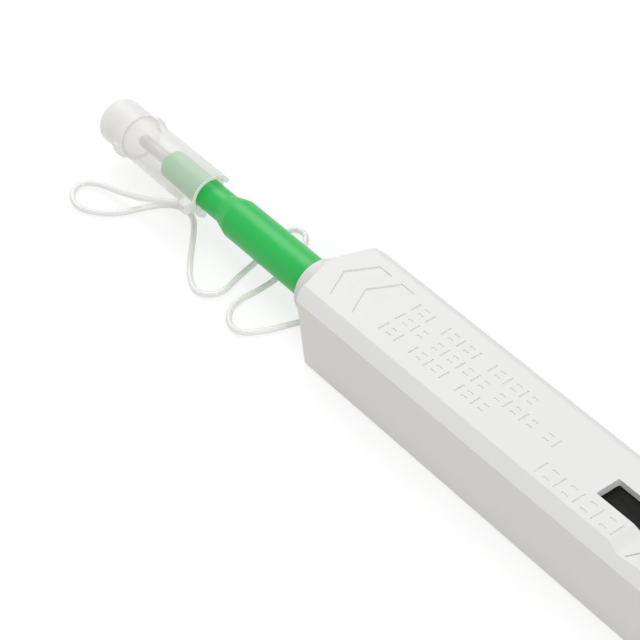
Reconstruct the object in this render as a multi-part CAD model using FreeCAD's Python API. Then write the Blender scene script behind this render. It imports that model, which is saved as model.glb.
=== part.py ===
import FreeCAD, Part
import math
import os

from FreeCAD import Vector

# Fibre connector cleaning pen, lying on its flat bottom.
# X runs along the pen with the nozzle towards -X, Y runs across it and Z is up. The origin is
# on the table below the middle of the pen. Sizes are in millimetres, and places along the pen
# are first given from the housing's front corners, where x is 0 before the final shift.

# ---------------------------------------------------------------- driving dimensions

# housing
body_len = 140.0          # front corners to rear end
body_w = 22.0
body_h = 19.8
wall = 1.6
chamfer = 2.5             # long top edges; the two shells part where it starts
corner_r = 0.8            # upright front corners
rear_corner_r = 2.5
bottom_r = 1.0
top_edge_r = 0.45         # top face to chamfers
end_edge_r = 1.3          # top face to the nose and to the rear end
nose_depth = 4.2          # how far the V-shaped nose stands forward of the corners
nose_tip_r = 3.0
collar_reach = 8.8        # round collar's front, forward of the corners
collar_r = 6.4
collar_edge = 0.4
slot_w = 5.4
slot_corner_r = 0.4
scoop_lead = 10.1         # scoop's front behind the slot's front
scoop_depth = 0.8         # at its front
scoop_rest = 0.4          # depth further back
scoop_rise = 6.0          # length of the rise between the two
scoop_ramp = 2.6
scoop_tail = 5.0          # scoop beyond the slot's rear end
index_x = 4.1             # index line behind the scoop's front
index_turn = 25.0         # degrees the index line slants
roof_step = 1.0           # cavity's narrowing under the chamfers
lip_h = 0.5               # locating lip on the lower shell's edge
lip_w = 0.5

# marks sunk into the top face
chevron_x = 1.6           # first chevron's point
chevron_half = 6.2
chevron_rake = 3.7
chevron_band = 4.2
chevron_pitch = 7.25
chevron_depth = 0.3
mark_depth = 0.2
mark_line = 0.45
small_mark_pitch = 2.35
large_mark_pitch = 2.6
small_mark_h = 2.5
large_mark_h = 3.3
mark_row_step = 4.0
mark_rows = ["ooo ooooo oooooo", "oooo ooooooo ooooo oo", "ooo ooooo oooo"]
large_row = "ooooooooo"
large_mark_lead = 11.7    # large row's start, in front of the slot

# nozzle
axis_drop = 0.54          # nozzle's axis below the housing's middle
barrel_r = 4.6
barrel_show = 28.3        # barrel seen in front of the collar
shoulder_len = 4.4
neck_r = 3.4
neck_len = 21.3
neck_edge = 0.4
barrel_bore_r = 3.2
barrel_tail_len = 4.9     # barrel behind its flange
flange_rim = 0.9
flange_t = 2.0
push_travel = 8.5         # less than the room for the tip inside the closed lid
extend_travel = 32.0

# cleaning tip
tip_show = 12.4           # tip in front of the neck
sleeve_r = 1.4
sleeve_len = 28.0
shaft_r = 0.95
shaft_bore_r = 0.35
wrap_len = 1.6
wrap_show = 0.6

# guide cap and lid
cap_r = 5.25
cap_wall = 1.0
cap_mouth_x = 47.4        # mouth, forward of the corners
cap_step_len = 3.3        # the mouth's underside is cut back by this much
cap_step_drop = 1.95      # from the axis down to the cut
cap_step_turn = 41.0      # degrees the cut faces off straight down
cap_roll = 20.0           # degrees the cap is turned on the nozzle
cap_rib_t = 0.9
cap_rib_len = 10.0
cap_ribs = 3
cap_rib_turn = 30.0       # first rib, in degrees from the hinge
cap_to_tip = 0.4          # tip's end to the seam under the lid
lid_r = 5.4
lid_len = 9.6
lid_round = 1.5
lid_gap = 0.1
lid_arc_steps = 6
tab_r = 6.15
tab_half = 2.4
tab_len = 1.8
tab_set = 0.9             # tab's rear face in front of the lid's rear edge
tab_edge_r = 0.8
hinge_r = 6.0
hinge_half = 2.0
hinge_len = 1.7
hinge_edge_r = 0.4
lug_len = 3.0
lug_h = 2.2
lug_edge_r = 0.5
lug_reach = 7.3           # lug's outer face from the nozzle's axis
lug_x = 47.5              # lug's rear face, forward of the corners

# carriage
run_gap = 0.2             # sliding clearance between carriage and shells
carriage_wall = 1.2
carriage_floor = 1.0
front_wall_t = 3.0
mid_wall_t = 2.0
rear_gap = 2.0
cover_t = 1.4
deck_edge_t = 0.5

# reels and drive
reel_side_gap = 1.0       # reels to the frame's side walls
reel_hub_r = 2.6
reel_flange_t = 0.6
reel_h = 4.7
reel_gap = 1.5
reel_space = 4.0          # from the middle wall to the first reel
axle_r = 1.5
takeup_wind_r = 4.0
supply_depth = 1.2        # full winding below the reel's rim
gear_teeth = 10
gear_module = 0.8
gear_angle = 25.0         # pressure angle in degrees
gear_tip = 0.8            # addendum, in modules
gear_root = 1.05          # dedendum, in modules
gear_backlash = 0.12      # taken off each tooth's thickness
flank_steps = 5
gear_t = 1.6
rack_side_gap = 1.0       # rack's back to the frame's side wall
rack_ring_len = 2.6
rack_lead = 1.5           # rack past the pinion's middle, in tooth pitches
rack_spare_teeth = 3
thread_d = 0.4
feed_bend = (2.5, 4.0)    # feed thread's first turn: behind the shaft, beside the axis
used_bend = (2.0, -2.2, -0.8)

# button
button_len = 16.0
button_rear_gap = 3.7     # flange to the frame's rear wall
button_w = 4.8
button_sink = 0.1         # below the housing's top face
button_press = 1.5
button_flange = 1.9       # flange beyond the stem along and across
button_flange_t = 1.0
button_grooves = 5
button_groove_w = 0.8
button_groove_depth = 0.35
button_edge_r = 0.4
well_wall = 0.8

# springs
spring_wire = 0.5
return_turns = 8
return_len = 18.0         # return spring at rest
leaf_t = 0.3              # button's bowed leaf spring
leaf_w = 3.2
leaf_len = 14.0

# clearances
slide_gap = 0.1           # radial, nozzle in collar and front wall
spin_gap = 0.05           # radial, turning parts
fit_gap = 0.05            # pieces that stay together
lift_gap = 0.3            # between turning faces
shaft_past = 1.5          # shaft behind the middle wall

# tether
tether_d = 1.3
anchor_r = 1.0
anchor_z = 1.7
anchor_len = 1.8
tether_gap = 0.4          # tether's ends to the lug and to the anchor
tether_set = 0.75         # tether's axis in from the lug's outer face, in diameters
arc_share = 0.45          # part of the shorter run that a cord's arc takes

# modelling
past = 1.0                # how far a cutter runs past a face
root_in = 0.2             # how far a tooth reaches into its strip
tiny = 0.01               # for finding faces and edges

# The tether's route from the lug to the nose, chosen by hand; the first and the last point
# are set by the lug and by the anchor.
tether_route = [
    (-60.4, -8.0, 6.6),
    (-71.0, -9.5, 3.2),
    (-79.0, -10.2, 1.5),
    (-83.0, -13.6, 0.9),
    (-80.3, -18.6, 0.75),
    (-73.2, -19.6, 0.7),
    (-66.6, -14.2, 0.7),
    (-63.9, -6.9, 0.7),
    (-60.6, -2.0, 0.7),
    (-54.3, -0.9, 0.7),
    (-49.8, -4.4, 0.7),
    (-43.2, -10.1, 0.7),
    (-36.9, -14.4, 0.7),
    (-31.4, -16.0, 0.7),
    (-28.6, -12.0, 0.7),
    (-31.3, -6.2, 0.7),
    (-33.2, 1.6, 0.7),
    (-36.6, 9.0, 0.7),
    (-36.3, 13.6, 0.7),
    (-31.6, 14.0, 0.7),
    (-28.2, 9.4, 0.7),
    (-25.2, 2.4, 0.7),
    (-24.3, -5.0, 0.7),
    (-25.0, -11.4, 0.7),
    (-21.6, -15.8, 0.7),
    (-16.6, -15.8, 0.7),
    (-13.6, -10.6, 0.7),
    (-11.4, -5.4, 0.8),
    (-8.6, -1.6, 1.2),
]

# ---------------------------------------------------------------- worked-out places

axis_z = body_h / 2 - axis_drop
seam_z = body_h - chamfer
flange_r = barrel_r + flange_rim

neck_back = -(collar_reach + barrel_show + shoulder_len)
shoulder_back = -(collar_reach + barrel_show)
neck_front = neck_back - neck_len
tip_front = neck_front - tip_show
cap_front = tip_front - cap_to_tip
lid_back = cap_front - lid_gap
lid_front = lid_back - lid_len
pen_front = lid_front

lid_top_half = body_w / 2 - chamfer
cavity_half = body_w / 2 - wall
cavity_front = wall + run_gap
cavity_rear = body_len - wall
roof_z = body_h - wall
roof_half = cavity_half - roof_step

carriage_front = cavity_front + run_gap + extend_travel
carriage_rear = cavity_rear - rear_gap
carriage_half = cavity_half - run_gap
carriage_z = wall + run_gap
frame_floor_z = carriage_z + carriage_floor
frame_inner = carriage_half - carriage_wall
frame_rear = carriage_rear - carriage_wall
front_wall_back = carriage_front + front_wall_t
cover_top = roof_z - run_gap
deck_z = cover_top - cover_t
deck_half = roof_half - 2 * run_gap

flange_front = front_wall_back + slide_gap
flange_back = flange_front + flange_t
barrel_tail = flange_back + barrel_tail_len
mid_wall_x = barrel_tail + return_len
mid_wall_back = mid_wall_x + mid_wall_t

button_back = frame_rear - button_rear_gap - button_flange
button_front = button_back - button_len
slot_front = button_front - extend_travel - 2 * run_gap
slot_rear = button_back + 2 * run_gap
scoop_front = slot_front + scoop_lead
scoop_rear = slot_rear + scoop_tail
button_top = body_h - button_sink
button_flange_top = deck_z - spin_gap
button_flange_low = button_flange_top - button_flange_t
well_room_z = button_flange_low - button_press - leaf_t - lift_gap
well_floor_z = well_room_z - well_wall
well_half = button_w / 2 + button_flange + run_gap

reel_r = frame_inner - reel_side_gap
supply_wind_r = reel_r - supply_depth
pitch_r = gear_module * gear_teeth / 2
tooth_pitch = math.pi * gear_module
tooth_half = (tooth_pitch / 2 - gear_backlash) / 2
gear_z = frame_floor_z + run_gap
reel_z = gear_z + gear_t + lift_gap
reel_top = reel_z + reel_h
axle_top = reel_top + 2 * lift_gap
thread_y = reel_r + lift_gap + thread_d / 2
takeup_x = mid_wall_back + reel_space + reel_r
supply_x = takeup_x + 2 * reel_r + reel_gap
rack_end = takeup_x + rack_lead * tooth_pitch
shaft_rear = mid_wall_back + shaft_past

shift = -(pen_front + body_len) / 2


# ---------------------------------------------------------------- basic shapes

def box(x0, x1, y0, y1, z0, z1):
    """A block between two corners."""
    return Part.makeBox(x1 - x0, y1 - y0, z1 - z0, Vector(x0, y0, z0))


def slab(x0, x1, half, z0, z1):
    """A block that lies evenly about the pen's middle plane."""
    return box(x0, x1, -half, half, z0, z1)


def rod_x(x0, x1, r, y=0.0, z=axis_z):
    """A round bar along X, on the nozzle's axis unless told otherwise."""
    return Part.makeCylinder(r, x1 - x0, Vector(x0, y, z), Vector(1, 0, 0))


def rod_z(x, y, z0, z1, r):
    """A round bar along Z."""
    return Part.makeCylinder(r, z1 - z0, Vector(x, y, z0), Vector(0, 0, 1))


def turned(profile):
    """A solid of revolution about the nozzle's axis from (x, radius) points."""
    points = [Vector(x, 0, axis_z + r) for x, r in profile]
    face = Part.Face(Part.makePolygon(points + points[:1]))
    return face.revolve(Vector(0, 0, axis_z), Vector(1, 0, 0), 360)


def rounded_edges(points, radii, closed=True):
    """Straight runs through points, joined by tangent arcs of the given radii."""
    count = len(points)
    corners = range(count) if closed else range(1, count - 1)
    enter = list(points)
    leave = list(points)
    arcs = {}
    for i in corners:
        here = points[i]
        back = (points[i - 1] - here).normalize()
        on = (points[(i + 1) % count] - here).normalize()
        half_turn = (math.pi - back.getAngle(on)) / 2
        if radii[i] <= 0 or half_turn < 1e-6:
            continue
        reach = radii[i] * math.tan(half_turn)
        enter[i] = here + back * reach
        leave[i] = here + on * reach
        middle = here + (back + on).normalize() * (radii[i] / math.cos(half_turn) - radii[i])
        arcs[i] = Part.Arc(enter[i], middle, leave[i]).toShape()
    edges = []
    for i in range(count if closed else count - 1):
        if i in arcs:
            edges.append(arcs[i])
        after = (i + 1) % count
        edges.append(Part.LineSegment(leave[i], enter[after]).toShape())
    return edges


def prism_z(corners, radii, z0, z1):
    """An upright prism over a plan of (x, y) corners with rounded corners."""
    points = [Vector(x, y, z0) for x, y in corners]
    face = Part.Face(Part.Wire(rounded_edges(points, radii)))
    return face.extrude(Vector(0, 0, z1 - z0))


def prism_x(corners, radii, x0, x1):
    """A prism along the pen over a section of (y, z) corners with rounded corners."""
    points = [Vector(x0, y, z) for y, z in corners]
    face = Part.Face(Part.Wire(rounded_edges(points, radii)))
    return face.extrude(Vector(x1 - x0, 0, 0))


def rod_y(x, z, r, half):
    """A round bar along Y that lies evenly about the pen's middle plane."""
    return Part.makeCylinder(r, 2 * half, Vector(x, -half, z), Vector(0, 1, 0))


def about_axis(shape, degrees):
    """Turns a shape about the nozzle's axis; 0 keeps it, and 90 takes +Y to +Z."""
    turned_shape = shape.copy()
    turned_shape.rotate(Vector(0, 0, axis_z), Vector(1, 0, 0), degrees)
    return turned_shape


def ring_block(x0, x1, r0, r1, half, degrees, round_r):
    """A block on a round tube: part of a ring, 2 x half wide, at an angle from +Y."""
    ring = rod_x(x0, x1, r1).cut(rod_x(x0, x1, r0))
    outline = [(x0, -half), (x1, -half), (x1, half), (x0, half)]
    points = [Vector(x, 0, axis_z + v) for x, v in outline]
    face = Part.Face(Part.Wire(rounded_edges(points, [round_r] * 4)))
    return about_axis(ring.common(face.extrude(Vector(0, r1 + past, 0))), degrees)


# ---------------------------------------------------------------- housing

def housing_plan(z0, z1):
    """The housing seen from above: V-shaped nose, long sides, square rear."""
    half = body_w / 2
    corners = [(-nose_depth, 0), (0, half), (body_len, half), (body_len, -half), (0, -half)]
    radii = [nose_tip_r, corner_r, rear_corner_r, rear_corner_r, corner_r]
    return prism_z(corners, radii, z0, z1)


def lip(side, gap):
    """The locating lip along one side of the parting plane, grown by a gap."""
    inner = cavity_half + fit_gap - gap
    outer = cavity_half + fit_gap + lip_w + gap
    y0, y1 = sorted((side * inner, side * outer))
    start = cavity_front + wall
    return box(start - gap, cavity_rear - wall + gap, y0, y1, seam_z, seam_z + lip_h + gap)


def lower_shell():
    """Deep tray with the nose, the nozzle's collar and the tether's anchor."""
    half = body_w / 2
    section = [(-half, 0), (half, 0), (half, seam_z), (-half, seam_z)]
    shell = prism_x(section, [bottom_r, bottom_r, 0, 0], -nose_depth, body_len)
    shell = shell.common(housing_plan(0, seam_z))
    rim = collar_r - collar_edge
    collar = turned([(-collar_reach, 0), (-collar_reach, rim), (-collar_reach + collar_edge, collar_r),
                     (cavity_front, collar_r), (cavity_front, 0)])
    anchor_root = -nose_depth + nose_tip_r
    anchor = rod_x(-nose_depth - anchor_len, anchor_root, anchor_r, 0, anchor_z)
    shell = shell.fuse([collar, anchor])
    shell = shell.cut(slab(cavity_front, cavity_rear, cavity_half, wall, seam_z))
    shell = shell.cut(rod_x(-collar_reach - past, cavity_front + past, barrel_r + slide_gap))
    return shell.fuse([lip(1, 0), lip(-1, 0)]).removeSplitter()


def chevron(x):
    """A V-shaped band that points to the nozzle, as a cutter for the top face."""
    near = x + chevron_rake
    outline = [(x, 0), (near, chevron_half), (near + chevron_band, chevron_half), (x + chevron_band, 0),
               (near + chevron_band, -chevron_half), (near, -chevron_half)]
    return prism_z(outline, [0] * len(outline), body_h - chevron_depth, body_h + past)


def mark(index, x, y, height, pitch):
    """One of two plain signs, an upright bar or a pair of short dashes."""
    floor = body_h - mark_depth
    if index % 2 == 0:
        return [box(x, x + mark_line, y - height / 2, y + height / 2, floor, body_h + past)]
    wide = pitch - 2 * mark_line
    dash = height / 2 - mark_line
    return [box(x - mark_line, x - mark_line + wide, y + side * dash - mark_line / 2,
                y + side * dash + mark_line / 2, floor, body_h + past) for side in (-1, 1)]


def mark_row(x, y, row, height, pitch):
    """A row of plain signs; a blank in the row leaves one place free."""
    signs = []
    for place, sign in enumerate(row):
        if sign != " ":
            signs += mark(place, x + place * pitch, y, height, pitch)
    return signs


def scoop():
    """The shallow thumb scoop round the slot, as a cutter with ramped ends."""
    deepest = scoop_front + scoop_ramp
    rest = body_h - scoop_rest
    top = body_h + past
    outline = [(scoop_front, body_h), (deepest, body_h - scoop_depth), (deepest + scoop_rise, rest),
               (scoop_rear - scoop_ramp, rest), (scoop_rear, body_h), (scoop_rear, top), (scoop_front, top)]
    points = [Vector(x, -body_w, z) for x, z in outline]
    radii = [0, scoop_ramp, 2 * scoop_rise, 2 * scoop_ramp, 0, 0, 0]
    face = Part.Face(Part.Wire(rounded_edges(points, radii)))
    return face.extrude(Vector(0, 2 * body_w, 0))


def index_line():
    """A short slanting groove in the scoop that shows the button's forward place."""
    x = scoop_front + index_x
    line = box(x, x + mark_line, -lid_top_half, -slot_w / 2 - 2 * mark_line,
               body_h - scoop_depth - mark_depth, body_h)
    line.rotate(Vector(x, -lid_top_half, 0), Vector(0, 0, 1), -index_turn)
    return line


def upper_shell():
    """Shallow lid with chamfered long edges, the button's slot and the sunk marks."""
    half = body_w / 2
    section = [(-half, seam_z), (half, seam_z), (lid_top_half, body_h), (-lid_top_half, body_h)]
    shell = prism_x(section, [0, 0, top_edge_r, top_edge_r], -nose_depth, body_len)
    plan = housing_plan(seam_z, body_h)
    plan = plan.makeFillet(end_edge_r, [e for e in plan.Edges if e.BoundBox.ZMin > body_h - tiny])
    shell = shell.common(plan)
    shell = shell.cut(slab(cavity_front, cavity_rear, roof_half, seam_z, roof_z))
    slot_plan = [(slot_front, -slot_w / 2), (slot_rear, -slot_w / 2), (slot_rear, slot_w / 2),
                 (slot_front, slot_w / 2)]
    cutters = [prism_z(slot_plan, [slot_corner_r] * 4, seam_z, body_h + past), scoop(), index_line()]
    cutters += [chevron(chevron_x), chevron(chevron_x + chevron_pitch)]
    cutters += [lip(1, fit_gap), lip(-1, fit_gap)]
    first = chevron_x + 2 * chevron_pitch + chevron_rake
    for i, row in enumerate(mark_rows):
        cutters += mark_row(first, (1 - i) * mark_row_step, row, small_mark_h, small_mark_pitch)
    cutters += mark_row(slot_front - large_mark_lead, -lid_top_half + large_mark_h / 2 + 2 * mark_line,
                        large_row, large_mark_h, large_mark_pitch)
    return shell.cut(cutters)


# ---------------------------------------------------------------- carriage

def carriage_frame():
    """Sliding tray with the nozzle's guide, the shaft's bearing and the reels' axles."""
    frame = slab(carriage_front, carriage_rear, carriage_half, carriage_z, deck_z)
    frame = frame.cut(slab(front_wall_back, mid_wall_x, frame_inner, frame_floor_z, deck_z))
    frame = frame.cut(slab(mid_wall_back, frame_rear, frame_inner, frame_floor_z, deck_z))
    frame = frame.cut(rod_x(carriage_front - past, front_wall_back + past, barrel_r + slide_gap))
    frame = frame.cut(rod_x(mid_wall_x - past, mid_wall_back + past, shaft_r + spin_gap))
    teeth_y = -pitch_r + gear_tip * gear_module
    way = box(mid_wall_x - past, mid_wall_back + past, -frame_inner, teeth_y + run_gap,
              frame_floor_z, gear_z + gear_t + run_gap)
    axles = [rod_z(x, 0, frame_floor_z, axle_top, axle_r) for x in (takeup_x, supply_x)]
    return frame.cut(way).fuse(axles)


def carriage_cover():
    """Black deck over the carriage, with the button's hole and the spring's well below it."""
    cover = slab(carriage_front, carriage_rear, carriage_half, deck_z, deck_z + deck_edge_t)
    cover = cover.fuse(slab(carriage_front, carriage_rear, deck_half, deck_z, cover_top))
    well = slab(button_front - button_flange, button_back + button_flange, well_half + well_wall,
                well_floor_z, deck_z)
    room = slab(button_front - 2 * button_flange, button_back + 2 * button_flange, well_half,
                well_room_z, deck_z)
    hole = slab(button_front - run_gap, button_back + run_gap, button_w / 2 + run_gap, deck_z, cover_top)
    return cover.fuse(well.cut(room)).cut(hole)


# ---------------------------------------------------------------- button

def release_button():
    """Thumb button with grip grooves and a flange that keeps it under the deck."""
    stem = slab(button_front, button_back, button_w / 2, button_flange_low, button_top)
    edges = [e for e in stem.Edges if e.BoundBox.ZMin > button_top - tiny]
    stem = stem.makeFillet(button_edge_r, edges)
    pitch = button_len / (button_grooves + 1)
    for i in range(button_grooves):
        x = button_front + (i + 1) * pitch
        stem = stem.cut(slab(x - button_groove_w / 2, x + button_groove_w / 2, button_w,
                             button_top - button_groove_depth, button_top + past))
    flange = slab(button_front - button_flange, button_back + button_flange, button_w / 2 + button_flange,
                  button_flange_low, button_flange_top)
    return stem.fuse(flange).removeSplitter()


def button_spring():
    """Bowed leaf spring between the well's floor and the button's flange."""
    middle = (button_front + button_back) / 2
    rise = button_flange_low - well_room_z
    bow_r = (leaf_len ** 2 / 4 + rise ** 2) / (2 * rise)
    centre_z = button_flange_low - bow_r
    bow = rod_y(middle, centre_z, bow_r, leaf_w / 2).cut(rod_y(middle, centre_z, bow_r - leaf_t, leaf_w / 2))
    return bow.common(slab(button_front, button_back, leaf_w, well_room_z, button_flange_low))


# ---------------------------------------------------------------- nozzle

def nozzle_tube():
    """Green nozzle: barrel with a stop flange, cone, neck and through bore."""
    sleeve_bore = sleeve_r + slide_gap
    return turned([
        (neck_front, sleeve_bore), (neck_front, neck_r - neck_edge), (neck_front + neck_edge, neck_r),
        (neck_back, neck_r), (shoulder_back, barrel_r), (flange_front, barrel_r), (flange_front, flange_r),
        (flange_back, flange_r), (flange_back, barrel_r), (barrel_tail, barrel_r),
        (barrel_tail, barrel_bore_r), (shoulder_back, barrel_bore_r), (neck_back, sleeve_bore),
    ])


def rack_tooth(x):
    """One straight-sided tooth of the rack, centred at x and pointing to +Y."""
    slope = math.tan(math.radians(gear_angle))
    out = gear_tip * gear_module
    down = gear_root * gear_module + root_in
    low = tooth_half + down * slope
    high = tooth_half - out * slope
    outline = [(x - low, -pitch_r - down), (x - high, -pitch_r + out),
               (x + high, -pitch_r + out), (x + low, -pitch_r - down)]
    return prism_z(outline, [0] * len(outline), gear_z, gear_z + gear_t)


def rack_slider():
    """Toothed strip on a ring that sits on the barrel's rear end."""
    ring_back = flange_back + rack_ring_len
    ring = rod_x(flange_back, ring_back, flange_r).cut(
        rod_x(flange_back, ring_back, barrel_r + fit_gap))
    root_y = -pitch_r - gear_root * gear_module
    back_y = -frame_inner + rack_side_gap
    strip = box(flange_back, rack_end, back_y, root_y, gear_z, gear_z + gear_t)
    foot = box(flange_back, ring_back, back_y, root_y + barrel_r / 2, gear_z, axis_z)
    foot = foot.cut(rod_x(flange_back, ring_back, barrel_r + fit_gap))
    first = math.floor((rack_end - takeup_x) / tooth_pitch) + 0.5
    count = math.ceil(push_travel / tooth_pitch) + rack_spare_teeth
    teeth = [rack_tooth(takeup_x + (first - i) * tooth_pitch) for i in range(count)]
    teeth = [t.common(box(flange_back, rack_end, -2 * pitch_r, 0, 0, deck_z)) for t in teeth]
    return ring.fuse([strip, foot] + teeth).removeSplitter()


def return_spring():
    """Coil round the shaft that pushes the nozzle forward, between nozzle and middle wall."""
    radius = (barrel_r + barrel_bore_r) / 2
    run = return_len - spring_wire
    helix = Part.makeHelix(run / return_turns, run, radius)
    ring = Part.Wire(Part.makeCircle(spring_wire / 2, Vector(radius, 0, 0), Vector(0, 1, 0)))
    coil = Part.Wire(helix).makePipeShell([ring], True, True)
    coil.rotate(Vector(0, 0, 0), Vector(0, 1, 0), 90)
    coil.translate(Vector(barrel_tail + spring_wire / 2, 0, axis_z))
    return coil


# ---------------------------------------------------------------- cleaning tip

def tip_sleeve():
    """Tube that carries the tip into an adapter; its front edge is eased."""
    front = tip_front + wrap_show
    bore = shaft_r + fit_gap
    return turned([(front, bore), (front, sleeve_r - 2 * fit_gap), (front + wrap_show, sleeve_r),
                   (front + sleeve_len, sleeve_r), (front + sleeve_len, bore)])


def tip_shaft():
    """Hollow shaft that turns the tip; the thread runs inside it."""
    front = tip_front + wrap_len
    return turned([(front, shaft_bore_r), (front, shaft_r), (shaft_rear, shaft_r),
                   (shaft_rear, shaft_bore_r)])


def tip_wrap():
    """The turn of cleaning thread over the tip's end, with a domed front."""
    back = tip_front + wrap_len
    return turned([(tip_front, 0), (tip_front, shaft_r / 2), (tip_front + wrap_show / 2, shaft_r),
                   (back, shaft_r), (back, 0)])


# ---------------------------------------------------------------- guide cap

def guide_cap():
    """Clear tube over the neck with a stepped mouth, grip ribs, hinge block and tether lug."""
    bore = cap_r - cap_wall
    mouth = -cap_mouth_x
    tube = turned([(cap_front, bore), (cap_front, cap_r), (mouth, cap_r), (mouth, bore)])
    step = slab(mouth - cap_step_len, mouth + past, cap_r + past, axis_z - cap_r - past,
                axis_z - cap_step_drop)
    tube = tube.cut(about_axis(step, cap_step_turn))
    rib_back = mouth - cap_step_len - cap_wall
    ribs = []
    for i in range(cap_ribs):
        rib = box(rib_back - cap_rib_len, rib_back, neck_r, cap_r - cap_wall / 2,
                  axis_z - cap_rib_t / 2, axis_z + cap_rib_t / 2)
        ribs.append(about_axis(rib, cap_roll + cap_rib_turn + 360 / cap_ribs * i))
    tube = tube.fuse(ribs).cut(rod_x(cap_front, mouth, neck_r + fit_gap))
    hinge = ring_block(cap_front, cap_front + hinge_len, cap_r - cap_wall / 2, hinge_r, hinge_half,
                       cap_roll, hinge_edge_r)
    lug = box(-lug_x - lug_len, -lug_x, -lug_reach, -cap_r + cap_wall / 2,
              axis_z - lug_h / 2, axis_z + lug_h / 2)
    lug = lug.makeFillet(lug_edge_r, [e for e in lug.Edges if e.BoundBox.YMax < -lug_reach + tiny])
    return tube.fuse([hinge, lug])


def cap_lid():
    """Clear cup with a rounded front and a thumb tab opposite the hinge."""
    bore = lid_r - cap_wall
    angles = [math.pi / 2 * (1 - i / lid_arc_steps) for i in range(lid_arc_steps + 1)]
    arc = [(lid_front + lid_round * (1 - math.sin(a)), lid_r - lid_round * (1 - math.cos(a)))
           for a in angles]
    outline = [(lid_front, 0)] + arc + [(lid_back, lid_r), (lid_back, bore), (lid_front + 2 * cap_wall, bore),
                                        (lid_front + cap_wall, bore - cap_wall), (lid_front + cap_wall, 0)]
    tab_back = lid_back - tab_set
    tab = ring_block(tab_back - tab_len, tab_back, lid_r - cap_wall / 2, tab_r, tab_half,
                     180 + cap_roll, tab_edge_r)
    return turned(outline).fuse(tab)


# ---------------------------------------------------------------- drive and reels

def flank(radius, base_r):
    """The involute's polar angle at a radius, counted from the base circle."""
    roll = math.sqrt(max((radius / base_r) ** 2 - 1, 0))
    return roll - math.atan(roll)


def drive_pinion():
    """Small involute gear under the take-up reel; one tooth points at the rack."""
    base_r = pitch_r * math.cos(math.radians(gear_angle))
    tip_r = pitch_r + gear_tip * gear_module
    root_r = pitch_r - gear_root * gear_module
    half = tooth_half / pitch_r + flank(pitch_r, base_r)
    side = [base_r + (tip_r - base_r) * i / flank_steps for i in range(flank_steps + 1)]
    points = []
    for tooth in range(gear_teeth):
        middle = -math.pi / 2 + 2 * math.pi * tooth / gear_teeth
        rise = [(root_r, middle - half)] + [(r, middle - half + flank(r, base_r)) for r in side]
        fall = [(r, 2 * middle - a) for r, a in reversed(rise)]
        points += [Vector(takeup_x + r * math.cos(a), r * math.sin(a), gear_z) for r, a in rise + fall]
    face = Part.Face(Part.makePolygon(points + points[:1]))
    gear = face.extrude(Vector(0, 0, gear_t))
    return gear.cut(rod_z(takeup_x, 0, gear_z, gear_z + gear_t, axle_r + spin_gap))


def reel(x):
    """A flanged reel on its axle."""
    body = rod_z(x, 0, reel_z, reel_top, reel_hub_r)
    flanges = [rod_z(x, 0, reel_z, reel_z + reel_flange_t, reel_r),
               rod_z(x, 0, reel_top - reel_flange_t, reel_top, reel_r)]
    return body.fuse(flanges).cut(rod_z(x, 0, reel_z, reel_top, axle_r + spin_gap))


def winding(x, r):
    """The thread wound on a reel, as one solid ring."""
    low = reel_z + reel_flange_t + fit_gap
    high = reel_top - reel_flange_t - fit_gap
    return rod_z(x, 0, low, high, r).cut(rod_z(x, 0, low, high, reel_hub_r + fit_gap))


# ---------------------------------------------------------------- cords

def corner_radii(points):
    """The arc at each corner takes the same share of the shorter of its two runs."""
    radii = [0.0]
    for i in range(1, len(points) - 1):
        back = points[i - 1] - points[i]
        on = points[i + 1] - points[i]
        half_turn = (math.pi - back.getAngle(on)) / 2
        radii.append(arc_share * min(back.Length, on.Length) / math.tan(half_turn))
    return radii + [0.0]


def cord(name, points, diameter):
    """A tube of straight runs joined by tangent arcs; prints its radii and its volume."""
    radii = corner_radii(points)
    path = Part.Wire(rounded_edges(points, radii, closed=False))
    start = (points[1] - points[0]).normalize()
    ring = Part.Wire(Part.makeCircle(diameter / 2, points[0], start))
    tube = path.makePipeShell([ring], True, True)
    plain = math.pi * diameter ** 2 / 4 * path.Length
    print(name, "radii", " ".join("%.1f" % r for r in radii[1:-1]))
    print(name, "length %.1f, volume %.2f of %.2f" % (path.Length, tube.Volume, plain))
    return tube


def tether():
    """Clear cord from the cap's lug, round a loop and zigzags on the table, to the nose."""
    start = Vector(-lug_x - lug_len - tether_gap, -lug_reach + tether_set * tether_d, axis_z)
    end = Vector(-nose_depth - anchor_len - tether_gap, 0, anchor_z)
    return cord("tether", [start] + [Vector(*p) for p in tether_route] + [end], tether_d)


def cleaning_thread():
    """The free thread: from the supply reel to the shaft, and back to the take-up reel."""
    z = reel_z + reel_h / 2
    back = shaft_rear + lift_gap
    beside = thread_d + 2 * fit_gap
    feed = [Vector(back, thread_d, axis_z),
            Vector(back + feed_bend[0], feed_bend[1], axis_z),
            Vector(takeup_x - reel_hub_r - feed_bend[0], thread_y, z),
            Vector(takeup_x + reel_r, thread_y, z),
            Vector(supply_x, supply_wind_r + beside, z)]
    used = [Vector(back, -thread_d, axis_z),
            Vector(back + used_bend[0], used_bend[1], axis_z + used_bend[2]),
            Vector(takeup_x, -takeup_wind_r - beside, z)]
    return Part.makeCompound([cord("feed thread", feed, thread_d), cord("used thread", used, thread_d)])


# ---------------------------------------------------------------- all pieces

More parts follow.
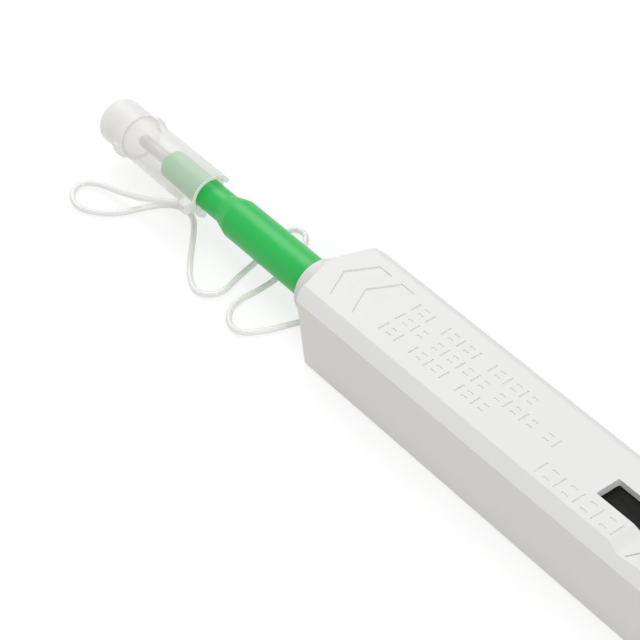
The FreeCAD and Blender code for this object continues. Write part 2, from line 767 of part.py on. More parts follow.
pieces = {
    "lower_shell": lower_shell(),
    "upper_shell": upper_shell(),
    "carriage_frame": carriage_frame(),
    "carriage_cover": carriage_cover(),
    "release_button": release_button(),
    "button_spring": button_spring(),
    "nozzle_tube": nozzle_tube(),
    "rack_slider": rack_slider(),
    "return_spring": return_spring(),
    "tip_sleeve": tip_sleeve(),
    "tip_shaft": tip_shaft(),
    "tip_wrap": tip_wrap(),
    "guide_cap": guide_cap(),
    "cap_lid": cap_lid(),
    "drive_pinion": drive_pinion(),
    "takeup_reel": reel(takeup_x),
    "takeup_thread": winding(takeup_x, takeup_wind_r),
    "supply_reel": reel(supply_x),
    "supply_thread": winding(supply_x, supply_wind_r),
    "cleaning_thread": cleaning_thread(),
    "tether": tether(),
}

os.makedirs("parts", exist_ok=True)
for name, shape in pieces.items():
    placed = shape.copy()
    placed.translate(Vector(shift, 0, 0))
    placed.exportStep("parts/%s.step" % name)
    corner = placed.BoundBox
    print("%-16s solids %d valid %s volume %9.2f x %7.2f..%7.2f y %6.2f..%6.2f z %5.2f..%5.2f" % (
        name, len(placed.Solids), placed.isValid(), placed.Volume, corner.XMin, corner.XMax,
        corner.YMin, corner.YMax, corner.ZMin, corner.ZMax))
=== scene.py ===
# %% [markdown]
# Fibre connector cleaning pen
#
# A cleaning pen is a long white housing with a green nozzle, and a clear guide cap tied to the
# housing by a thin clear cord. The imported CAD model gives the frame: every node of it stands in
# its place already. This lesson gives each node its finish, and makes the round, clear and soft
# pieces again as finer surfaces.

# %% Load the frame
import math

import bmesh
import bpy
import numpy as np
from mathutils import Matrix, Vector


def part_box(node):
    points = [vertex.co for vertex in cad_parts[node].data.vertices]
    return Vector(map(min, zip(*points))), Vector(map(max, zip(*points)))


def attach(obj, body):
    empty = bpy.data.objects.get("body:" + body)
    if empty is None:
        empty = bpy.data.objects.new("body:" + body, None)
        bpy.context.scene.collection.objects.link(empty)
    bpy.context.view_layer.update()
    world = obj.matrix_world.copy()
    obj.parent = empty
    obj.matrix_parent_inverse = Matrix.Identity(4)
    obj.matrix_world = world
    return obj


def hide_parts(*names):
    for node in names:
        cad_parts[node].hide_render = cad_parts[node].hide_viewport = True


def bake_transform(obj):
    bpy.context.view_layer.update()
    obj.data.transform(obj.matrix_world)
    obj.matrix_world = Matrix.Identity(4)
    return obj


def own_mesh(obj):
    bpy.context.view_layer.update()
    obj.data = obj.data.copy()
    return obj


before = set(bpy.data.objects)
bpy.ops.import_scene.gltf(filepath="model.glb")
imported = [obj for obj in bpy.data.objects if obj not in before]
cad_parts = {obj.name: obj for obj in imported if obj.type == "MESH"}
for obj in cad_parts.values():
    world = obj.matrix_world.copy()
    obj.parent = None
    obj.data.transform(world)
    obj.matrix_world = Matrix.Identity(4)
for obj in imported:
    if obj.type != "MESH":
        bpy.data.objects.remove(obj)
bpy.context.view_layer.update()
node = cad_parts

# %% [markdown]
# Places
#
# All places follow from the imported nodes' boxes. The housing's front corners are the pen's
# zero line: the nose, the collar and the nozzle stand in front of it.

# %% Places taken from the frame
mm = 0.001
body_len = 140.0 * mm
corner_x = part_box("upper_shell")[1].x - body_len
nozzle_low, nozzle_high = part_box("nozzle_tube")
axis_z = (nozzle_low.z + nozzle_high.z) / 2
print("front corners at x %.2f mm, nozzle axis at z %.2f mm" % (corner_x / mm, axis_z / mm))

# %% [markdown]
# Camera
#
# The pen is seen from high on its right, from far away with a long lens, so that its long edges
# stay nearly parallel. The camera looks at a point over the nose and is rolled a little.

# %% Camera
view_azimuth = math.radians(58.55)
view_elevation = math.radians(41.39)
view_roll = math.radians(-7.01)
view_distance = 513.3 * mm
view_point = Vector((corner_x - 16.9 * mm, 0, 14.4 * mm))
view_slide = (5.6 * mm, -15.0 * mm)
sensor_width = 36.0
lens = 140.6

back = Vector((math.sin(view_azimuth) * math.cos(view_elevation),
               -math.cos(view_azimuth) * math.cos(view_elevation),
               math.sin(view_elevation)))
right = Vector((math.cos(view_azimuth), math.sin(view_azimuth), 0))
up = back.cross(right)
rolled_right = right * math.cos(view_roll) + up * math.sin(view_roll)
rolled_up = up * math.cos(view_roll) - right * math.sin(view_roll)

camera_data = bpy.data.cameras.new("camera")
camera_data.lens = lens
camera_data.sensor_width = sensor_width
camera_data.clip_start = 0.01
camera = bpy.data.objects.new("camera", camera_data)
bpy.context.scene.collection.objects.link(camera)
camera.matrix_world = Matrix.Translation(
    view_point + rolled_right * view_slide[0] + rolled_up * view_slide[1] + back * view_distance
) @ Matrix((rolled_right, rolled_up, back)).transposed().to_4x4()
bpy.context.scene.camera = camera
print("camera at", [round(v, 4) for v in camera.matrix_world.translation])

# %% [markdown]
# Meshes from grids
#
# A new surface is worked out as one array of points on a grid, and its faces join each grid
# point to its neighbours. A grid closes on itself in one or both directions, and poles are
# merged afterwards.

# %% Helpers for grid surfaces
def grid_faces(rows, columns, close_rows, close_columns):
    """Quads between neighbouring points of a rows by columns grid, as rows of corner numbers."""
    r = np.arange(rows if close_rows else rows - 1)
    c = np.arange(columns if close_columns else columns - 1)
    r, c = (g.ravel() for g in np.meshgrid(r, c, indexing="ij"))
    r2, c2 = (r + 1) % rows, (c + 1) % columns
    corners = [r * columns + c, r * columns + c2, r2 * columns + c2, r2 * columns + c]
    return np.stack(corners, 1)


def surface(name, parts, smooth_angle=40.0):
    """One object from several (points, faces) parts, doubles merged, faces outwards."""
    points = np.concatenate([p.reshape(-1, 3) for p, _ in parts])
    starts = np.cumsum([0] + [p.reshape(-1, 3).shape[0] for p, _ in parts[:-1]])
    faces = np.concatenate([f + s for (_, f), s in zip(parts, starts)])
    mesh = bpy.data.meshes.new(name)
    mesh.from_pydata(points.tolist(), [], faces.tolist())
    shape = bmesh.new()
    shape.from_mesh(mesh)
    bmesh.ops.remove_doubles(shape, verts=shape.verts, dist=1e-7)
    bmesh.ops.dissolve_degenerate(shape, edges=shape.edges, dist=1e-8)
    bmesh.ops.recalc_face_normals(shape, faces=shape.faces)
    shape.to_mesh(mesh)
    shape.free()
    mesh.shade_smooth()
    mesh.set_sharp_from_angle(angle=math.radians(smooth_angle))
    piece = bpy.data.objects.new(name, mesh)
    bpy.context.scene.collection.objects.link(piece)
    print("%s: %d faces" % (name, len(mesh.polygons)))
    return piece


def face_data(piece):
    """Two arrays, of each face's normal and of its middle."""
    values = [np.zeros(3 * len(piece.data.polygons)) for _ in range(2)]
    piece.data.polygons.foreach_get("normal", values[0])
    piece.data.polygons.foreach_get("center", values[1])
    return [v.reshape(-1, 3) for v in values]


def rounded(corners, radii, steps=8):
    """A polyline whose corners are arcs: at each corner the arc touches both runs."""
    p = np.array(corners, float)
    before, after = p - np.roll(p, 1, 0), np.roll(p, -1, 0) - p
    out = []
    for here, a, b, r in zip(p, before, after, radii):
        a, b = a / np.linalg.norm(a), b / np.linalg.norm(b)
        half = np.arccos(np.clip(a @ b, -1, 1)) / 2
        if r <= 0 or half < 1e-4:
            out.append(here[None])
            continue
        centre = here + (b - a) / np.linalg.norm(b - a) * (r / np.cos(half))
        t = np.linspace(-half, half, steps + 1)[:, None]
        outwards = (here - centre) / np.linalg.norm(here - centre)
        onwards = (a + b) / np.linalg.norm(a + b)
        out.append(centre + r * (np.cos(t) * outwards + np.sin(t) * onwards))
    return np.concatenate(out)


def with_rows(outline, rows):
    """The closed outline with a point added wherever one of its runs passes a row's x."""
    out = []
    for a, b in zip(outline, np.roll(outline, -1, 0)):
        start, end = min(a[0], b[0]), max(a[0], b[0])
        passed = np.sort(rows[(rows > start + 1e-6) & (rows < end - 1e-6)])
        if b[0] < a[0]:
            passed = passed[::-1]
        share = ((passed - a[0]) / (b[0] - a[0] or 1.0))[:, None]
        out.append(np.vstack([a, a + share * (b - a)]))
    return np.concatenate(out)


def revolved(profile, segments=96, change=None, closed=True, centre=None):
    """Surface of revolution: the point (u, v) is x(v), r(v) cos u, axis + r(v) sin u.

    change(x, u, r) may give each point a new x and r. With a centre (x, y) the axis stands upright
    there: the point is x + r(v) cos u, y + r(v) sin u, z(v)."""
    u = np.linspace(0, 2 * np.pi, segments, endpoint=False)[:, None]
    x, r = profile[None, :, 0] + 0 * u, profile[None, :, 1] + 0 * u
    if change:
        x, r = change(x, u, r)
    across, over = r * np.cos(u), r * np.sin(u)
    if centre is None:
        points = [x, across, axis_z + over]
    else:
        points = [centre[0] + across, centre[1] + over, x]
    return np.stack(points, -1), grid_faces(segments, len(profile), True, closed)


def soft_step(t):
    """0 below 0, 1 above 1 and 3t^2 - 2t^3 between."""
    t = np.clip(t, 0, 1)
    return t * t * (3 - 2 * t)


def pad(x, u, r, x0, x1, turn, half_width, edge):
    """1 on a pad of a tube between x0 and x1, round an angle, and falling to 0 over a soft edge."""
    offset = np.abs((u - math.radians(turn) + np.pi) % (2 * np.pi) - np.pi) * r
    along = soft_step((x - x0) / edge) * soft_step((x1 - x) / edge)
    return along * soft_step((half_width - offset) / edge + 0.5)


# %% [markdown]
# Finishes
#
# Each finish is a Principled shader whose colour and bump come from noise in the piece's own
# coordinates, so that the pattern stays on the piece when it moves. Its roughness is one value.

# %% Helper for finishes
def finish_of(name, colour, roughness, grain=0.3, grain_depth=0.02, tint=0.03, tint_size=18.0,
              stretch=(1, 1, 1), **sockets):
    """A Principled finish: grain is the bump's size in mm, tint the strength of the clouding."""
    material = bpy.data.materials.new(name)
    material.use_nodes = True
    tree = material.node_tree
    shader = tree.nodes["Principled BSDF"]
    shader.inputs["Roughness"].default_value = roughness
    for socket, value in sockets.items():
        shader.inputs[socket.replace("_", " ")].default_value = value
    place = tree.nodes.new("ShaderNodeTexCoord")
    scaled = tree.nodes.new("ShaderNodeMapping")
    scaled.inputs["Scale"].default_value = stretch
    tree.links.new(place.outputs["Object"], scaled.inputs["Vector"])
    cloud = tree.nodes.new("ShaderNodeTexNoise")
    cloud.inputs["Scale"].default_value = 1 / (tint_size * mm)
    cloud.inputs["Detail"].default_value = 4
    tree.links.new(scaled.outputs["Vector"], cloud.inputs["Vector"])
    ramp = tree.nodes.new("ShaderNodeMix")
    ramp.data_type = "RGBA"
    ramp.inputs["A"].default_value = (*[c * (1 - tint) for c in colour], 1)
    ramp.inputs["B"].default_value = (*[min(1, c * (1 + tint)) for c in colour], 1)
    tree.links.new(cloud.outputs["Fac"], ramp.inputs["Factor"])
    tree.links.new(ramp.outputs["Result"], shader.inputs["Base Color"])
    fine = tree.nodes.new("ShaderNodeTexNoise")
    fine.inputs["Scale"].default_value = 1 / (grain * mm)
    fine.inputs["Detail"].default_value = 3
    tree.links.new(scaled.outputs["Vector"], fine.inputs["Vector"])
    bump = tree.nodes.new("ShaderNodeBump")
    bump.inputs["Strength"].default_value = 0.6
    bump.inputs["Distance"].default_value = grain_depth * mm
    tree.links.new(fine.outputs["Fac"], bump.inputs["Height"])
    tree.links.new(bump.outputs["Normal"], shader.inputs["Normal"])
    return material


def wear(piece, material):
    """Gives a piece or node one finish."""
    piece.data.materials.clear()
    piece.data.materials.append(material)


# %% Finishes of the solid pieces
white_shell = finish_of("white shell", (0.85, 0.85, 0.843), 0.45, grain=0.25, grain_depth=0.006,
                        tint=0.012, Specular_IOR_Level=0.3)
black_deck = finish_of("black deck", (0.018, 0.018, 0.0172), 0.5, grain=0.5, grain_depth=0.02,
                       tint=0.95, tint_size=1.4, stretch=(0.12, 1, 1), Specular_IOR_Level=0.05)
green_nozzle = finish_of("green nozzle", (0.010, 0.52, 0.085), 0.36, grain=1.2, grain_depth=0.006,
                         tint=0.04, Specular_IOR_Level=0.42)
grey_tip = finish_of("grey tip", (0.56, 0.56, 0.565), 0.35, grain=0.3, grain_depth=0.01,
                     tint=0.05, Metallic=0.3)
spring_steel = finish_of("spring steel", (0.55, 0.55, 0.56), 0.25, grain=0.2, grain_depth=0.005,
                         tint=0.05, Metallic=1.0)
natural_gear = finish_of("natural gear", (0.74, 0.71, 0.62), 0.4, grain=0.4, grain_depth=0.01,
                         tint=0.03)
white_thread = finish_of("white thread", (0.85, 0.85, 0.83), 0.8, grain=0.12, grain_depth=0.05,
                         tint=0.06, tint_size=1.0)

# %% [markdown]
# Clear and milky plastics
#
# A milky moulding lets part of the light through and scatters the rest. It could bend the light
# like glass, but in thin nested walls that gives dark patches. Here each finish lets a fixed
# share of the rays straight through. A cup's bore is nearly clear, so that its wall counts
# once. The end of a wall is opaque, as a wall seen edgewise. On one side of the mouth's rim it
# is pure white, and that white is a painted highlight.

# %% Clear and milky finishes
def milky(name, colour, roughness, alpha, gloss, tint=0.008):
    """A milky finish: alpha is the share of the rays that the surface stops."""
    return finish_of(name, colour, roughness, grain=2.5, grain_depth=0.01, tint=tint,
                     Alpha=alpha, Specular_IOR_Level=gloss)


milky_cap = milky("milky cap", (0.99, 0.98, 0.955), 0.3, 0.46, 0.5)
milky_lid = milky("milky lid", (0.97, 0.957, 0.94), 0.32, 0.62, 0.4)
milky_bore = milky("milky bore", (0.98, 0.965, 0.945), 0.4, 0.06, 0.2)
# painted highlight: this opaque pure white is put on one side of the mouth's rim only
rim_painted_highlight = milky("rim painted highlight", (1.0, 1.0, 0.99), 0.35, 1.0, 0.6, tint=0.002)
clear_cord = finish_of("clear cord", (1.0, 1.0, 0.985), 0.15, grain=3.0, grain_depth=0.002,
                       tint=0.01, Alpha=0.68, Specular_IOR_Level=0.8)

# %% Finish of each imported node
finish_of_node = {
    "lower_shell": white_shell, "upper_shell": white_shell,
    "carriage_frame": black_deck, "carriage_cover": black_deck, "release_button": black_deck,
    "rack_slider": black_deck, "button_spring": spring_steel, "return_spring": spring_steel,
    "nozzle_tube": green_nozzle, "tip_sleeve": grey_tip, "tip_shaft": grey_tip,
    "guide_cap": milky_cap, "cap_lid": milky_lid, "tether": clear_cord,
    "drive_pinion": natural_gear, "takeup_reel": natural_gear, "supply_reel": natural_gear,
    "takeup_thread": white_thread, "supply_thread": white_thread,
    "cleaning_thread": white_thread, "tip_wrap": white_thread,
}
for name, material in finish_of_node.items():
    wear(node[name], material)
print("finished nodes:", len(finish_of_node))

# %% [markdown]
# Nozzle
#
# The nozzle is turned in one piece: a barrel, a cone and a neck. It could be a stack of
# cylinders, but then the cone's edges would stay hard. Here one closed outline, with arcs at its
# corners, is carried once round the axis.

# %% Nozzle
neck_front = nozzle_low.x
neck_back = corner_x - 41.5 * mm
cone_back = corner_x - 37.1 * mm
flange_front = corner_x + 37.1 * mm
flange_back = corner_x + 39.1 * mm
barrel_rear = nozzle_high.x
neck_r, barrel_r, flange_r = 3.4 * mm, 4.6 * mm, 5.5 * mm
sleeve_bore, barrel_bore = 1.5 * mm, 3.2 * mm
outline = [(neck_front, sleeve_bore), (neck_front, neck_r), (neck_back, neck_r),
           (cone_back, barrel_r), (flange_front, barrel_r), (flange_front, flange_r),
           (flange_back, flange_r), (flange_back, barrel_r), (barrel_rear, barrel_r),
           (barrel_rear, barrel_bore),
           (cone_back, barrel_bore), (neck_back, sleeve_bore)]
edge_radii = [v * mm for v in (0.15, 0.45, 0.5, 0.3, 0.2, 0.3, 0.3, 0.2, 0.3, 0.2, 0.5, 0.5)]
nozzle = surface("nozzle_green", [revolved(rounded(outline, edge_radii))])
wear(nozzle, green_nozzle)
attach(nozzle, "nozzle")
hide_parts("nozzle_tube")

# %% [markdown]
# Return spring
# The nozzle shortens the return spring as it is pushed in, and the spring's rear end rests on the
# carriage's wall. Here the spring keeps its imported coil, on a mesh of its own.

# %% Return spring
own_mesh(node["return_spring"])

# %% [markdown]
# Guide cap
#
# The guide cap is a milky moulded tube with a hinge block at its front, a lug for the tether at
# its mouth and three grip ribs inside. The blocks could be joined by booleans, but a moulding
# flows into its blocks. Here they are soft pads of one turned surface, whose radius grows there.
# The mouth's underside is cut back: its points move forward there.

# %% Guide cap's shape
cap_low, cap_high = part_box("guide_cap")
cap_front, cap_mouth = cap_low.x, cap_high.x
cap_r, cap_bore, hinge_r, lug_r, rib_r = (v * mm for v in (5.25, 4.25, 6.0, 7.3, 3.45))
cap_roll = 20.0
pad_edge = 0.5 * mm
hinge_len, hinge_half = 1.7 * mm, 2.0 * mm
lug_x = corner_x - 47.5 * mm
lug_front, lug_back, lug_half, lug_turn = 3.0 * mm, 1 * mm, 1.1 * mm, 180
rib_back = cap_mouth - 4.3 * mm
rib_len, rib_half, rib_edge, rib_count = 10 * mm, 0.45 * mm, 0.3 * mm, 3
cut_len, cut_drop, cut_turn, cut_edge = 3.3 * mm, 1.95 * mm, 311.0, 1.1 * mm
cut_reach, cut_fade = 5.2 * mm, 1.5 * mm


def cap_change(x, u, r):
    """Raises the hinge block and the lug outside and the ribs inside, and cuts the mouth back."""
    outside = soft_step((r - cap_bore) / (cap_r - cap_bore) * 2 - 1)
    hinge = pad(x, u, cap_r, cap_front - 1 * mm, cap_front + hinge_len, cap_roll, hinge_half,
                pad_edge)
    lug = pad(x, u, cap_r, lug_x - lug_front, lug_x + lug_back, lug_turn, lug_half, pad_edge)
    ribs = sum(pad(x, u, cap_bore, rib_back - rib_len, rib_back,
                   cap_roll + 30 + 360 / rib_count * k, rib_half, rib_edge)
               for k in range(rib_count))
    grown = r + outside * (hinge * (hinge_r - cap_r) + lug * (lug_r - cap_r))
    grown = grown + (r < cap_bore + 0.01 * mm) * ribs * (rib_r - cap_bore)
    below = r * np.cos(u - math.radians(cut_turn)) - cut_drop
    near_mouth = soft_step((x - (cap_mouth - cut_reach)) / cut_fade)
    return x - cut_len * soft_step(below / cut_edge + 0.5) * near_mouth, grown


fine, coarse = 0.12 * mm, 0.9 * mm
rows = np.concatenate([np.arange(cap_front, cap_front + 3.0 * mm, fine),
                       np.arange(cap_front + 3.0 * mm, cap_mouth - 5.4 * mm, coarse),
                       np.arange(cap_mouth - 5.4 * mm, cap_mouth, fine)])
outline = [(cap_front, cap_bore), (cap_front, cap_r), (cap_mouth, cap_r), (cap_mouth, cap_bore)]
profile = with_rows(rounded(outline, [v * mm for v in (0.2, 0.3, 0.3, 0.2)], 4), rows)
cap = surface("guide_cap_milky", [revolved(profile, 240, cap_change)])

# %% [markdown]
# Guide cap's finishes
#
# The cap's faces get one of three finishes by their place. The bore is found by its distance
# from the axis, and the mouth's rim by faces that look to the rear.

# %% The cap's faces get one of three finishes by their place. The bore is found by its distance
# from the axis. The mouth's rim is found by faces that look to the rear, on one side of the
# mouth only, and these get the rim's painted highlight.
def in_bore(middle, bore_r):
    """True for each face whose middle is no farther from the axis than a bore's wall."""
    return np.hypot(middle[:, 1], middle[:, 2] - axis_z) < bore_r + 0.05 * mm


wear(cap, milky_cap)
cap.data.materials.append(milky_bore)
cap.data.materials.append(rim_painted_highlight)
facing, middle = face_data(cap)
# painted highlight: only the rear-facing rim faces within this turn of the mouth get the white rim
# finish
highlight_turn, highlight_from = math.radians(130), 2.3 * mm
towards = middle[:, 1] * math.cos(highlight_turn) + (middle[:, 2] - axis_z) * math.sin(highlight_turn)
rim = (facing[:, 0] > 0.8) & (towards > highlight_from)
which = np.where(rim, 2, in_bore(middle, cap_bore)).astype(np.int32)
cap.data.polygons.foreach_set("material_index", which)
print("cap's faces: %d outside, %d in the bore, %d on the rim" % tuple(np.bincount(which)))
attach(cap, "cap")
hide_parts("guide_cap")

# %% [markdown]
# Lid
#
# The lid is a short thick cup that closes the cap's front. Its front edge is well rounded, and a
# thumb tab stands on it opposite the hinge.

# %% Lid
lid_front, lid_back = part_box("cap_lid")[0].x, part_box("cap_lid")[1].x
lid_r, lid_bore, tab_r = (v * mm for v in (5.4, 4.4, 6.15))
tab_front, tab_back, tab_half = 2.7 * mm, 0.7 * mm, 2.4 * mm
tab_fall, tab_fall_from, tab_fall_len = 0.35, 2.2 * mm, 1.3 * mm
lid_floor = 1 * mm


def lid_change(x, u, r):
    """Raises the thumb tab, which falls off a little towards the cap."""
    tab = pad(x, u, lid_r, lid_back - tab_front, lid_back - tab_back, 180 + cap_roll, tab_half,
              pad_edge)
    tab = tab * (1 - tab_fall * soft_step((x - lid_back + tab_fall_from) / tab_fall_len))
    return x, r + (r > lid_r - 0.05 * mm) * tab * (tab_r - lid_r)


outline = [(lid_front, 0), (lid_front, lid_r), (lid_back, lid_r), (lid_back, lid_bore),
           (lid_front + 2 * mm, lid_bore), (lid_front + lid_floor, lid_bore - 1 * mm),
           (lid_front + lid_floor, 0)]
radii = [v * mm for v in (0, 1.5, 0.25, 0.2, 0.4, 0.4, 0)]
rows = np.arange(lid_back - 4 * mm, lid_back, fine)
profile = with_rows(rounded(outline, radii), rows)
lid = surface("cap_lid_milky", [revolved(profile, 240, lid_change, closed=False)])
wear(lid, milky_lid)
lid.data.materials.append(milky_bore)
middle = face_data(lid)[1]
bore = in_bore(middle, lid_bore) & (middle[:, 0] > lid_front + lid_floor / 2)
lid.data.polygons.foreach_set("material_index", bore.astype(np.int32))
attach(lid, "lid")
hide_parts("cap_lid")

# %% [markdown]
# Tip
#
# The grey tip shows through the cap. It is a sleeve round a thin shaft, and the cleaning thread
# is wound over the shaft's end. The winding is a turned surface whose radius swells and sinks
# along a helix.

# %% Tip
sleeve_front, sleeve_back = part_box("tip_sleeve")[0].x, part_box("tip_sleeve")[1].x
sleeve_r, shaft_r, groove = 1.4 * mm, 0.95 * mm, 0.12 * mm
groove_front = sleeve_front + 2.6 * mm
groove_back = groove_front + 0.5 * mm
outline = [(sleeve_front, shaft_r + groove), (sleeve_front, sleeve_r),
           (groove_front, sleeve_r), (groove_front, sleeve_r - groove),
           (groove_back, sleeve_r - groove), (groove_back, sleeve_r),
           (sleeve_back, sleeve_r), (sleeve_back, shaft_r + groove)]
radii = [v * mm for v in (0.05, 0.35, 0.04, 0.04, 0.04, 0.04, 0.2, 0.05)]
sleeve = surface("tip_sleeve_grey", [revolved(rounded(outline, radii))])
wear(sleeve, grey_tip)
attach(sleeve, "tip")
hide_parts("tip_sleeve")

# %% Thread on the tip
wrap_front, wrap_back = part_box("tip_wrap")[0].x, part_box("tip_wrap")[1].x
wrap_pitch = 0.2 * mm


def thread_ridges(x, u, r):
    """Swells the radius along a helix with the thread's pitch."""
    return x, r * (1 - 0.05 * (1 + np.cos(2 * np.pi * x / wrap_pitch - u)))


outline = [(wrap_front, 0), (wrap_front, shaft_r), (wrap_back, shaft_r), (wrap_back, 0)]
rows = np.arange(wrap_front, wrap_back, wrap_pitch / 8)
profile = with_rows(rounded(outline, [0, 0.3 * mm, 0.1 * mm, 0]), rows)
wrap = surface("tip_wrap_thread", [revolved(profile, 64, thread_ridges, closed=False)])
wear(wrap, white_thread)
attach(wrap, "tip")
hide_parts("tip_wrap")

# %% [markdown]
# Thread on the reels
#
# Clean thread is wound on one reel and used thread on the other. Both windings are turned about
# the reels' upright axles, and a helix of fine ridges stands for the turns of the thread.

# %% Thread on the reels
hub_r, wound_pitch, wound_step = 2.65 * mm, 0.4 * mm, 0.05 * mm


def wound_ridges(x, u, r):
    """Swells the outside of a winding along a helix with the thread's pitch."""
    ridged = r * (1 - 0.012 * (1 + np.cos(2 * np.pi * x / wound_pitch - u)))
    return x, np.where(r > r.max() * 0.9, ridged, r)


for name in ("takeup_thread", "supply_thread"):
    low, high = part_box(name)
    centre = ((low.x + high.x) / 2, (low.y + high.y) / 2)
    outer = (high.x - low.x) / 2
    outline = [(low.z, hub_r), (low.z, outer), (high.z, outer), (high.z, hub_r)]
    rows = np.arange(low.z, high.z, wound_step)
    profile = with_rows(rounded(outline, [0, 0.3 * mm, 0.3 * mm, 0], 4), rows)
    winding = surface(name + "_wound", [revolved(profile, 96, wound_ridges, centre=centre)])
    wear(winding, white_thread)
    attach(winding, name.split("_")[0])
    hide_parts(name)

# %% [markdown]
# Tether
#
# A thin clear cord ties the guide cap to the nose. It leaves the cap's lug, makes a round loop
# on the table and runs back in loose folds. Its line is a NURBS curve through a few control
# points. The cord bridges three moving bodies, so it is made in three lengths that meet end to
# end. Each length is listed with the two bodies that it joins, but it is not bent between them.

# %% Tether's route
tether_d = 1.3 * mm
lug_point = (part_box("guide_cap")[0].x + 24.70 * mm, -6.325 * mm, axis_z)
anchor_point = (corner_x - 6.0 * mm, 0.0, 1.7 * mm)
route = [(-60.4, -8.4, 5.2), (-70.5, -10.2, 2.4), (-77.6, -11.2, 1.2), (-81.4, -14.0, 0.9),
         (-79.3, -18.2, 0.75), (-73.2, -19.3, 0.7), (-66.6, -14.2, 0.7), (-63.9, -6.9, 0.7),
         (-60.6, -2.2, 0.7), (-54.7, -1.3, 0.7), (-49.6, -4.6, 0.7), (-43.2, -9.9, 0.7),
         (-37.3, -14.2, 0.7), (-32.0, -15.6, 0.7), (-28.7, -11.8, 0.7), (-30.9, -6.0, 0.7),
         (-32.9, 1.8, 0.7), (-36.2, 8.6, 0.7), (-36.0, 12.7, 0.7), (-32.0, 13.2, 0.7),
         (-28.5, 9.0, 0.7), (-25.3, 2.3, 0.7), (-24.3, -5.0, 0.7), (-24.8, -11.0, 0.7),
         (-21.4, -15.5, 0.7), (-16.2, -16.3, 0.7), (-12.9, -11.3, 0.7), (-11.2, -6.4, 0.7),
         (-9.2, -2.4, 0.9)]
points = [lug_point] + [(corner_x + x * mm, y * mm, z * mm) for x, y, z in route] + [anchor_point]
curve = bpy.data.curves.new("tether line", "CURVE")
curve.dimensions = "3D"
curve.resolution_u = 64
spline = curve.splines.new("NURBS")
spline.points.add(len(points) - 1)
for point, place in zip(spline.points, points):
    point.co = (*place, 1)
spline.order_u = 3
spline.use_endpoint_u = True
carrier = bpy.data.objects.new("tether line", curve)
line_mesh = bpy.data.meshes.new_from_object(carrier)
line = np.array([v.co for v in line_mesh.vertices], float)
bpy.data.meshes.remove(line_mesh)
bpy.data.objects.remove(carrier)
bpy.data.curves.remove(curve)


def evenly(path, step):
    """The same line with points one step apart along it."""
    along = np.concatenate([[0], np.cumsum(np.linalg.norm(np.diff(path, axis=0), axis=1))])
    at = np.linspace(0, along[-1], int(along[-1] / step) + 1)
    return np.stack([np.interp(at, along, path[:, k]) for k in range(3)], 1)


def length_of(path):
    """The sum of the distances between neighbouring points."""
    return float(np.linalg.norm(np.diff(path, axis=0), axis=1).sum())


line = evenly(line, 0.25 * mm)
print("tether line %.1f mm in %d points, lowest %.2f mm"
      % (length_of(line) / mm, len(line), line[:, 2].min() / mm))


# %% Tether's three lengths
def tube(path, diameter, sides=20):
    """A round tube: the point (u, v) is the path's point v plus a circle of angle u across it."""
    ahead = np.gradient(path, axis=0)
    ahead /= np.linalg.norm(ahead, axis=1)[:, None]
    side = np.cross(ahead, [0, 0, 1])
    side /= np.linalg.norm(side, axis=1)[:, None]
    over = np.cross(side, ahead)
    u = np.linspace(0, 2 * np.pi, sides, endpoint=False)
    ring = np.cos(u)[None, :, None] * side[:, None] + np.sin(u)[None, :, None] * over[:, None]
    skin = path[:, None] + diameter / 2 * ring
    ends = [np.repeat(path[i][None, None], sides, 1) for i in (0, -1)]
    skin = np.concatenate([ends[0], skin, ends[1]])
    return skin, grid_faces(len(skin), sides, False, True)


def nearest(x, y):
    """The number of the line's point nearest to a place on the table."""
    return int(np.argmin(np.hypot(line[:, 0] - x, line[:, 1] - y)))


loop_end = nearest(corner_x - 73.2 * mm, -19.0 * mm)
fold_start = nearest(corner_x - 43.2 * mm, -10.1 * mm)
lengths = [
    ("tether_cap_end", line[:loop_end + 1], ("nozzle", "cap"), (0, 0, 1.2 * mm), (0, 0, 8.6 * mm)),
    ("tether_middle", line[loop_end:fold_start + 1], ("carriage", "nozzle"),
     (corner_x - 46 * mm, 0, 0), (corner_x - 66 * mm, 0, 0)),
    ("tether_nose_end", line[fold_start:], ("housing", "carriage"),
     (corner_x - 8 * mm, 0, 0), (corner_x - 43 * mm, 0, 0)),
]
for name, path, bodies, start, end in lengths:
    piece = surface(name, [tube(path, tether_d)])
    wear(piece, clear_cord)
    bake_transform(piece)
    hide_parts("tether")

# %% [markdown]
# Stage and light
#
# The pen lies on a plain white table. The table and the world look white to the camera, and the
# table keeps the pen's soft shadow.

# %% Helper for the white room
def straight_rays(tree):
    """A socket that is 1 for rays from the camera, a gloss or a clear piece, and 0 for others."""
    rays = tree.nodes.new("ShaderNodeLightPath")
    found = rays.outputs["Is Camera Ray"]
    for kind in ("Is Glossy Ray", "Is Transmission Ray"):
        either = tree.nodes.new("ShaderNodeMath")
        either.operation = "MAXIMUM"
        tree.links.new(found, either.inputs[0])
        tree.links.new(rays.outputs[kind], either.inputs[1])
        found = either.outputs[0]
    return found


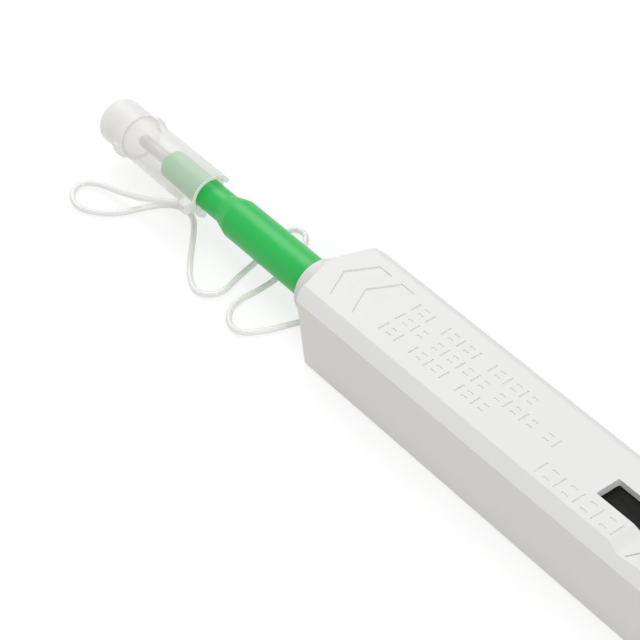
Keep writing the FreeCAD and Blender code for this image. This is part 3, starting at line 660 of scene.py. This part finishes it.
# %% Table
table_half = 3.0
table_glow, table_grey, table_bounce = 0.74, 0.29, (0.80, 0.765, 0.70)
corners = table_half * np.array([(-1.0, -1, 0), (1, -1, 0), (-1, 1, 0), (1, 1, 0)])
table = surface("table", [(corners, grid_faces(2, 2, False, False))])
table_white = bpy.data.materials.new("table white")
table_white.use_nodes = True
tree = table_white.node_tree
tree.nodes.clear()
glow = tree.nodes.new("ShaderNodeEmission")
glow.inputs["Strength"].default_value = table_glow
shaded = tree.nodes.new("ShaderNodeBsdfDiffuse")
shaded.inputs["Color"].default_value = (table_grey, table_grey, table_grey, 1)
seen = tree.nodes.new("ShaderNodeAddShader")
plain = tree.nodes.new("ShaderNodeBsdfDiffuse")
plain.inputs["Color"].default_value = (*table_bounce, 1)
mix = tree.nodes.new("ShaderNodeMixShader")
out = tree.nodes.new("ShaderNodeOutputMaterial")
tree.links.new(glow.outputs[0], seen.inputs[0])
tree.links.new(shaded.outputs[0], seen.inputs[1])
tree.links.new(straight_rays(tree), mix.inputs[0])
tree.links.new(plain.outputs[0], mix.inputs[1])
tree.links.new(seen.outputs[0], mix.inputs[2])
tree.links.new(mix.outputs[0], out.inputs[0])
wear(table, table_white)

# %% Room
room_level = 0.46
world = bpy.data.worlds.new("studio")
bpy.context.scene.world = world
world.use_nodes = True
tree = world.node_tree
background = tree.nodes["Background"]
background.inputs["Color"].default_value = (1, 1, 1, 1)
level = tree.nodes.new("ShaderNodeMapRange")
level.inputs["To Min"].default_value = room_level
level.inputs["To Max"].default_value = 1.0
tree.links.new(straight_rays(tree), level.inputs["Value"])
tree.links.new(level.outputs["Result"], background.inputs["Strength"])

# %% Lamps
def softbox(name, place, aim, size, power):
    """A rectangular area lamp of power watts, with a size of two sides, that looks at aim."""
    lamp = bpy.data.lights.new(name, "AREA")
    lamp.shape = "RECTANGLE"
    lamp.size, lamp.size_y = size
    lamp.energy = power
    holder = bpy.data.objects.new(name, lamp)
    bpy.context.scene.collection.objects.link(holder)
    place = Vector(place)
    turn = (place - Vector(aim)).to_track_quat("Z", "Y").to_matrix().to_4x4()
    holder.matrix_world = Matrix.Translation(place) @ turn


softbox("overhead", (-0.62, 0.25, 1.0), (0, 0, 0), (0.6, 1.6), 7.9)
softbox("front", (1.1, -0.45, 0.7), (0, 0, 0), (0.6, 0.6), 5.0)

bpy.context.scene.view_settings.view_transform = "Standard"
